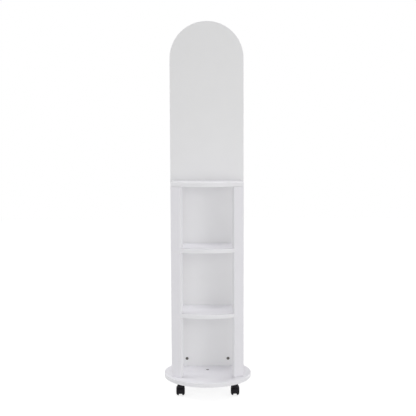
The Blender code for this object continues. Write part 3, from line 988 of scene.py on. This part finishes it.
def model_bolt(settings, black, steel):
    """The bolt in the base, with a hexagon in its head, and its nut."""
    low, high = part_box("base_bolt")
    head, shank = high.x, settings.bolt_radius
    rim = settings.cam_rim / 2
    axis = middle_of("base_bolt")
    axis.z = 0
    neck = high.z - settings.head_height
    profile = [(shank - rim, low.z), (shank, low.z + rim), (shank, neck), (head, neck)]
    profile += [(head, high.z - rim), (head - rim, high.z), (KEY_LAND * settings.key_radius, high.z)]
    bolt = turned(profile)
    combine(bolt, peg(UP * high.z, UP, settings.key_radius, 2 * settings.key_depth, HEXAGON))
    show(completed(bolt, Matrix.Translation(axis), black), "base_bolt")

    low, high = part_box("base_nut")
    middle = UP * (low.z + high.z) / 2
    nut = peg(middle, UP, high.x, 2 * (high.z - low.z), HEXAGON)
    half_side = math.pi / HEXAGON
    face = NUT_FACE * high.x * math.cos(half_side)
    reach = high.x + rim
    slope = (reach - face) / 2
    profile = [(face, low.z), (reach, low.z + slope), (reach, high.z - slope), (face, high.z)]
    profile += [(shank, high.z), (shank, low.z), (face, low.z)]
    ring = turned(profile)
    # Half a step round, so that no edge of the ring meets a corner of the nut
    moved(ring, Matrix.Rotation(math.pi / TURNED_STEPS, 4, "Z"))
    combine(nut, ring, "INTERSECT")
    place = Matrix.Translation(axis) @ Matrix.Rotation(half_side, 4, "Z")
    show(completed(nut, place, steel), "base_nut")


class MIRROR_OT_fasteners(bpy.types.Operator):
    """Model the cam locks and the bolt and nut in the base"""

    bl_idname = "mirror.fasteners"
    bl_label = "Cam locks and bolt"

    def execute(self, context):
        settings = context.scene.mirror_fittings
        model_cams(settings, finish_of(cast_zinc, settings.zinc_colour))
        steel = finish_of(plated_steel, settings.steel_colour)
        model_bolt(settings, finish_of(cast_zinc, settings.bolt_colour), steel)
        return {"FINISHED"}


# Casters


def swivel_of(caster):
    """Where a piece that was turned about Z goes, to turn about a caster's stem."""
    middle = middle_of(f"{caster}_stem")
    return Matrix.Translation((middle.x, middle.y, 0))


def wheel_faces(caster):
    """How far from the caster's middle its wheels' inner and outer faces are."""
    middle = middle_of(f"{caster}_axle").x
    low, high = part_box(f"{caster}_right_wheel")
    return low.x - middle, high.x - middle


def wheel_edge(settings, caster, offset, stop):
    """A wheel's rounded-over edge, or a curve set off from it.

    Its points are pairs of radius and distance from the caster's middle.
    """
    rounding = settings.wheel_round
    hub = middle_of(f"{caster}_axle").z - rounding
    shoulder = wheel_faces(caster)[1] - rounding
    reach = rounding + offset
    end = math.asin(min(1, (stop - shoulder) / reach))
    turns = [end * step / SHOULDER_STEPS for step in range(SHOULDER_STEPS + 1)]
    return [(hub + reach * math.cos(turn), shoulder + reach * math.sin(turn)) for turn in turns]


def halfway(first, second):
    return tuple((a + b) / 2 for a, b in zip(first, second))


def caster_hood(settings, caster):
    """A shell over both wheels, with a neck, and bores for axle and stem."""
    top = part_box(f"{caster}_hood")[1].z
    half_width = half_of(f"{caster}_hood").x
    axle = middle_of(f"{caster}_axle")
    lip = settings.hood_lip
    shell = wheel_edge(settings, caster, settings.hood_gap + settings.hood_wall, half_width - lip)
    end, turn = shell[-1][0], LIP_TURN * lip
    shell += [(end - turn, half_width - turn), (end - lip, half_width)]
    body = [(radius, -away) for radius, away in reversed(shell)] + shell
    piece = moved(turned(body, WHEEL_STEPS), lying(axle, X_AXIS))
    open_mesh()
    below = Vector((0, math.sin(settings.hood_tilt), -math.cos(settings.hood_tilt)))
    trim(axle + below * settings.hood_drop, below, fill=True)
    settle()

    neck = settings.neck_radius
    flare = neck + settings.neck_flare
    flare_top = top - settings.neck_height
    profile = [(flare, top - settings.stem_seat), (flare, flare_top - settings.neck_flare)]
    profile += [(neck, flare_top), (neck, top - lip), (neck - lip, top)]
    swivel = swivel_of(caster)
    combine(piece, moved(turned(profile), swivel), "UNION")
    gap = settings.hood_gap
    inner, outer = wheel_faces(caster)
    web = inner - settings.web_clearance
    well = [(axle.z + gap, web), *wheel_edge(settings, caster, gap, outer + gap)]
    for side in SIDES.values():
        combine(piece, moved(turned(well, WHEEL_STEPS), lying(axle, X_AXIS * side)))
    combine(piece, peg(axle, X_AXIS, settings.hub_radius, 2 * (web + settings.hub_proud)), "UNION")
    combine(piece, peg(axle, X_AXIS, half_of(f"{caster}_axle").z + FIT_GAP, 2 * half_width))
    mouth = swivel @ (UP * top)
    combine(piece, peg(mouth, UP, settings.stem_pin_radius + FIT_GAP, 2 * settings.stem_seat))
    paint(piece, finish_of(moulded, settings.hood_colour))
    smooth(piece)
    return piece


def caster_wheel(settings, caster, side):
    """A wheel with a tread, a groove, a dished face and a cap."""
    axle = middle_of(f"{caster}_axle")
    pin = half_of(f"{caster}_axle")
    bore_radius, bore_end = pin.z + FIT_GAP, pin.x + FIT_GAP
    inner, outer = wheel_faces(caster)
    edge = wheel_edge(settings, caster, 0, outer)
    floor = wheel_edge(settings, caster, -settings.groove, outer)
    at = round(TREAD_SHARE * SHOULDER_STEPS)
    groove = [halfway(edge[at - 1], edge[at]), floor[at], halfway(edge[at], edge[at + 1])]
    rim, flat = edge[at][0], edge[-1][0]
    chamfer, dish, cap = settings.tread_chamfer, settings.dish_depth, settings.cap_radius
    profile = [(bore_radius, bore_end), (bore_radius, inner)]
    profile += [(axle.z - chamfer, inner), (axle.z, inner + chamfer)]
    profile += [*edge[:at], *groove, *edge[at + 1 :]]
    profile += [(flat - dish / 2, outer), (flat - dish, outer - dish), (cap + dish, outer - dish)]
    profile += [(cap + dish / 2, outer - dish / 4), (cap, outer)]
    profile += [(cap / 2, outer), (cap / 2 - dish / 2, outer - dish / 2)]
    piece = turned(profile, WHEEL_STEPS)
    core = finish_of(wheel_core, settings.wheel_colour)
    paint(piece, core, finish_of(tread, settings.tread_colour))
    open_mesh()
    pick("faces", lambda face: face.calc_center_median().xy.length > rim)
    coat(1)
    close_mesh()
    smooth(piece)
    return moved(piece, lying(axle, X_AXIS * SIDES[side]))


def caster_stem(settings, caster, steel):
    """A stem with a collar between hood and socket."""
    low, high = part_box(f"{caster}_stem")
    collar_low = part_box(f"{caster}_hood")[1].z + FIT_GAP
    collar_top = collar_low + settings.collar_height
    collar = (high.x - low.x) / 2
    rim = STEM_RIM * settings.collar_height
    pin, upper = settings.stem_pin_radius, settings.stem_radius
    profile = [(pin - rim, low.z), (pin, low.z + rim), (pin, collar_low)]
    profile += [(collar - rim, collar_low), (collar, collar_low + rim)]
    profile += [(collar, collar_top - rim), (collar - rim, collar_top)]
    profile += [(upper, collar_top), (upper, high.z - rim), (upper - rim, high.z)]
    return completed(turned(profile), swivel_of(caster), steel)


def caster_socket(settings, caster, steel):
    """A sleeve for the base, with a flange under it."""
    low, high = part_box(f"{caster}_socket")
    flange = (high.x - low.x) / 2
    hole, sleeve = settings.stem_radius + FIT_GAP, settings.sleeve_radius
    rim = SOCKET_RIM * settings.flange_height
    top = low.z + settings.flange_height
    profile = [(hole, high.z), (hole, low.z + rim), (hole + rim, low.z), (flange - rim, low.z)]
    profile += [(flange, low.z + rim), (flange, top), (sleeve, top), (sleeve, high.z), (hole, high.z)]
    return completed(turned(profile), swivel_of(caster), steel)


class MIRROR_OT_casters(bpy.types.Operator):
    """Model the hooded twin-wheel casters with their stems and sockets"""

    bl_idname = "mirror.casters"
    bl_label = "Casters"

    def execute(self, context):
        settings = context.scene.mirror_casters
        steel = finish_of(plated_steel, context.scene.mirror_fittings.steel_colour)
        first = CASTERS[0]
        patterns = {
            "hood": (caster_hood(settings, first), "black_plastic"),
            "stem": (caster_stem(settings, first, steel), "steel"),
            "socket": (caster_socket(settings, first, steel), "steel"),
            "left_wheel": (caster_wheel(settings, first, "left"), "black_tread"),
            "right_wheel": (caster_wheel(settings, first, "right"), "black_tread"),
        }
        for caster in CASTERS:
            place = Matrix.Translation(middle_of(f"{caster}_stem") - middle_of(f"{first}_stem"))
            for name, (pattern, slot) in patterns.items():
                show(copied(pattern, place), f"{caster}_{name}")
        for pattern, _ in patterns.values():
            bpy.data.objects.remove(pattern, do_unlink=True)
        return {"FINISHED"}


# Fittings out of sight


class MIRROR_OT_hidden(bpy.types.Operator):
    """Finish the packed dowels, tape, cam bolts and axles, which keep their own shapes"""

    bl_idname = "mirror.hidden"
    bl_label = "Hidden fittings"

    def execute(self, context):
        settings = context.scene.mirror_fittings
        steel = finish_of(plated_steel, settings.steel_colour)
        finishes = {
            "_dowel": finish_of(beech, settings.beech_colour),
            "_tape": finish_of(foam, settings.tape_colour),
            "_cam_bolt": steel,
            "_axle": steel,
        }
        for name, node in frame["nodes"].items():
            for ending, material in finishes.items():
                if name.endswith(ending):
                    paint(node, material)
        return {"FINISHED"}


# Stage


def seen(finish):
    """One for what the camera sees, straight or in metal and glass. Nought for the rest."""
    path = finish.node("LightPath", output="Is Camera Ray")
    rays = path.socket.node.outputs
    total = path + Wire(finish, rays["Is Glossy Ray"]) + Wire(finish, rays["Is Transmission Ray"])
    return finish.node("Clamp", {}, {"Value": total})


def add_floor(settings):
    """A floor that the camera sees white, with a faint shadow."""
    floor = begin(bpy.ops.mesh.primitive_plane_add, size=settings.floor_size)
    close_mesh()
    floor.name = "floor"
    finish = Finish(bpy.data.materials.new("pale_floor"))
    tone = finish.vary(finish.noise(3, 3), settings.floor_colour, 0.995, 1.005)
    plain = finish.node("BsdfDiffuse", {}, {"Color": tone})
    dim = opaque(shade(settings.floor_colour, settings.floor_shadow))
    faint = finish.node("BsdfDiffuse", {}, {"Color": dim})
    white = finish.node("Emission", {}, {"Strength": settings.floor_white})
    shown = finish.node("AddShader", {}, {0: faint, 1: white})
    surface = finish.node("MixShader", {}, {0: seen(finish), 1: plain, 2: shown})
    finish.node("OutputMaterial", {}, {"Surface": surface})
    paint(floor, finish.owner)


def add_light(context, settings):
    """Even light from all round, and four soft lamps."""
    world = bpy.data.worlds.new("studio")
    context.scene.world = world
    finish = Finish(world)
    sky = finish.node("Background", {}, {"Color": WHITE, "Strength": settings.sky_strength})
    white = finish.node("Background", {}, {"Color": WHITE, "Strength": 1.0})
    both = finish.node("MixShader", {}, {0: seen(finish), 1: sky, 2: white})
    finish.node("OutputWorld", {}, {"Surface": both})

    aim = UP * settings.lamp_aim
    for name in ("right", "left", "front", "beside"):
        turn = getattr(settings, f"{name}_turn")
        rise = getattr(settings, f"{name}_rise")
        level = Vector((math.sin(turn), -math.cos(turn), 0)) * math.cos(rise)
        away = (level + UP * math.sin(rise)) * settings.lamp_distance
        bpy.ops.object.select_all(action="DESELECT")
        facing = (-away).to_track_quat("-Z", "Y").to_euler()
        bpy.ops.object.light_add(type="AREA", location=aim + away, rotation=facing)
        lamp = context.object
        lamp.name = f"{name}_lamp"
        lamp.visible_camera = False
        lamp.data.shape = "SQUARE"
        lamp.data.size = settings.lamp_size
        lamp.data.energy = getattr(settings, f"{name}_power")


def add_camera(context, settings):
    """A camera where the photograph was taken from."""
    bpy.ops.object.select_all(action="DESELECT")
    bpy.ops.object.camera_add()
    camera = context.object
    camera.name = "photo_camera"
    camera.data.sensor_width = SENSOR
    camera.data.lens = settings.focal_pixels / PHOTO_SIDE * SENSOR
    heading = Matrix.Rotation(settings.camera_heading, 4, "Z")
    stand = (settings.camera_aside, -settings.camera_distance, settings.camera_height)
    level = Matrix.Rotation(math.pi / 2 - settings.camera_tilt, 4, "X")
    roll = Matrix.Rotation(settings.camera_roll, 4, "Z")
    camera.matrix_world = heading @ Matrix.Translation(stand) @ level @ roll
    context.scene.camera = camera


class MIRROR_OT_stage(bpy.types.Operator):
    """Set up the pale floor, the soft light and the camera"""

    bl_idname = "mirror.stage"
    bl_label = "Stage"

    def execute(self, context):
        settings = context.scene.mirror_stage
        context.scene.view_settings.view_transform = "Standard"
        add_floor(settings)
        add_light(context, settings)
        add_camera(context, settings)
        return {"FINISHED"}


# Sidebar and start

OPERATORS = (
    MIRROR_OT_base,
    MIRROR_OT_panel,
    MIRROR_OT_shelves,
    MIRROR_OT_posts,
    MIRROR_OT_glass,
    MIRROR_OT_fasteners,
    MIRROR_OT_casters,
    MIRROR_OT_hidden,
    MIRROR_OT_stage,
)


class MIRROR_PT_panel(bpy.types.Panel):
    """Lists the pieces and their settings"""

    bl_idname = "MIRROR_PT_panel"
    bl_label = "Rolling mirror"
    bl_space_type = "VIEW_3D"
    bl_region_type = "UI"
    bl_category = "Rolling mirror"

    def draw(self, context):
        for operator in OPERATORS:
            self.layout.operator(operator.bl_idname)
        for name, group in SETTINGS.items():
            box = self.layout.box()
            box.label(text=group.__doc__)
            for setting in group.__annotations__:
                box.prop(getattr(context.scene, name), setting)


CLASSES = (*SETTINGS.values(), *OPERATORS, MIRROR_PT_panel)


def register():
    for item in CLASSES:
        bpy.utils.register_class(item)
    for name, group in SETTINGS.items():
        setattr(bpy.types.Scene, name, PointerProperty(type=group))


def unregister():
    for name in SETTINGS:
        delattr(bpy.types.Scene, name)
    for item in reversed(CLASSES):
        bpy.utils.unregister_class(item)


def main():
    register()
    bpy.ops.mirror.base()
    bpy.ops.mirror.panel()
    bpy.ops.mirror.shelves()
    bpy.ops.mirror.posts()
    bpy.ops.mirror.glass()
    bpy.ops.mirror.fasteners()
    bpy.ops.mirror.casters()
    bpy.ops.mirror.hidden()
    bpy.ops.mirror.stage()


if __name__ == "__main__":
    main()
